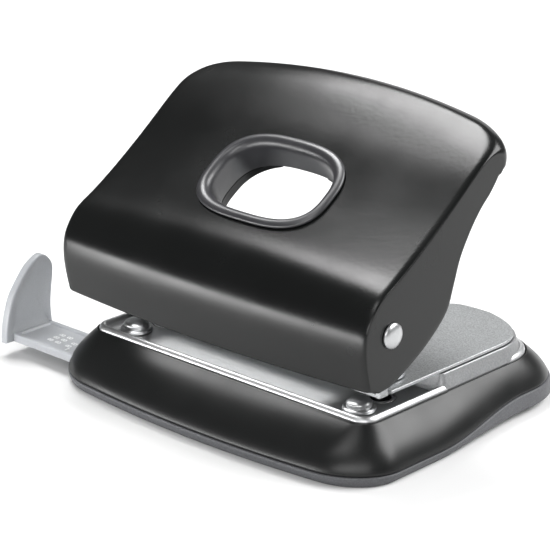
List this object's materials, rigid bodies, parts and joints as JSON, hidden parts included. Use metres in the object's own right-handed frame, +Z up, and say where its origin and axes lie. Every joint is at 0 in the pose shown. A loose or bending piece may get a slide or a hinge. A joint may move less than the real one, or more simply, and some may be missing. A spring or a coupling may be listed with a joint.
{
  "type": "two-hole punch",
  "caption": "Desk hole punch: a wide pressed lever with a finger opening over sprung punches, on a plated die plate in a plastic base with a pull-out paper guide and a chip tray",
  "frame": {"origin": "Middle of the flat bottom of the base, measured on the base alone without the paper guide", "axes": "+X to the right seen from the paper side, +Y back from the paper side, +Z up"},
  "size_m": [0.1417, 0.1031, 0.0862],
  "materials": {
    "black_plastic": "satin black moulded plastic",
    "grey_plastic": "soft dark grey plastic with a fine grain",
    "bright_plate": "bright nickel plating",
    "grained_steel": "zinc plated steel with a satin grain",
    "plain_steel": "plain satin steel",
    "hard_steel": "ground hardened steel",
    "black_paint": "satin black paint",
    "ring_plastic": "dark grey satin plastic",
    "guide_plastic": "light grey translucent plastic"
  },
  "bodies": {
    "base": {"base_shell": "black_plastic", "die_plate": "bright_plate", "punch_bracket": "grained_steel", "die_bush_left": "hard_steel", "die_bush_right": "hard_steel", "guide_bush_left": "plain_steel", "guide_bush_right": "plain_steel", "return_spring_left": "plain_steel", "return_spring_right": "plain_steel", "front_rivet_left": "bright_plate", "front_rivet_right": "bright_plate", "rear_screw_left": "plain_steel", "rear_screw_right": "plain_steel", "pivot_rivet_left": "bright_plate", "pivot_rivet_right": "bright_plate", "bracket_rivet_1": "plain_steel", "bracket_rivet_2": "plain_steel", "bracket_rivet_3": "plain_steel", "bracket_rivet_4": "plain_steel"},
    "lever": {"lever_handle": "black_paint", "grip_ring": "ring_plastic", "press_yoke": "plain_steel", "pivot_washer_left": "plain_steel", "pivot_washer_right": "plain_steel"},
    "punch_left": {"punch_pin_left": "hard_steel", "spring_collar_left": "plain_steel"},
    "punch_right": {"punch_pin_right": "hard_steel", "spring_collar_right": "plain_steel"},
    "guide": {"paper_guide": "guide_plastic"},
    "tray": {"chip_tray": "grey_plastic"}
  },
  "joints": [
    {"name": "lever_press", "type": "hinge", "parent": "base", "child": "lever", "pos_m": [0, -0.0334, 0.0391], "axis": [-1, 0, 0], "range_deg": [0, 28], "stiffness_Nm_per_rad": 1.5, "springref_deg": -17.19},
    {"name": "left_punch", "type": "slide", "parent": "base", "child": "punch_left", "axis": [0, 0, -1], "range_m": [0, 0.0081], "deforming": ["return_spring_left"]},
    {"name": "right_punch", "type": "slide", "parent": "base", "child": "punch_right", "axis": [0, 0, -1], "range_m": [0, 0.0081], "deforming": ["return_spring_right"]},
    {"name": "guide_slide", "type": "slide", "parent": "base", "child": "guide", "axis": [-1, 0, 0], "range_m": [-0.016, 0.052]},
    {"name": "tray_open", "type": "hinge", "parent": "base", "child": "tray", "pos_m": [0, -0.0517, 0.003], "axis": [-1, 0, 0], "range_deg": [0, 60]}
  ],
  "couplings": [
    {"joint": "left_punch", "follows": "lever_press", "m_per_rad": 0.0165},
    {"joint": "right_punch", "follows": "lever_press", "m_per_rad": 0.0165}
  ]
}
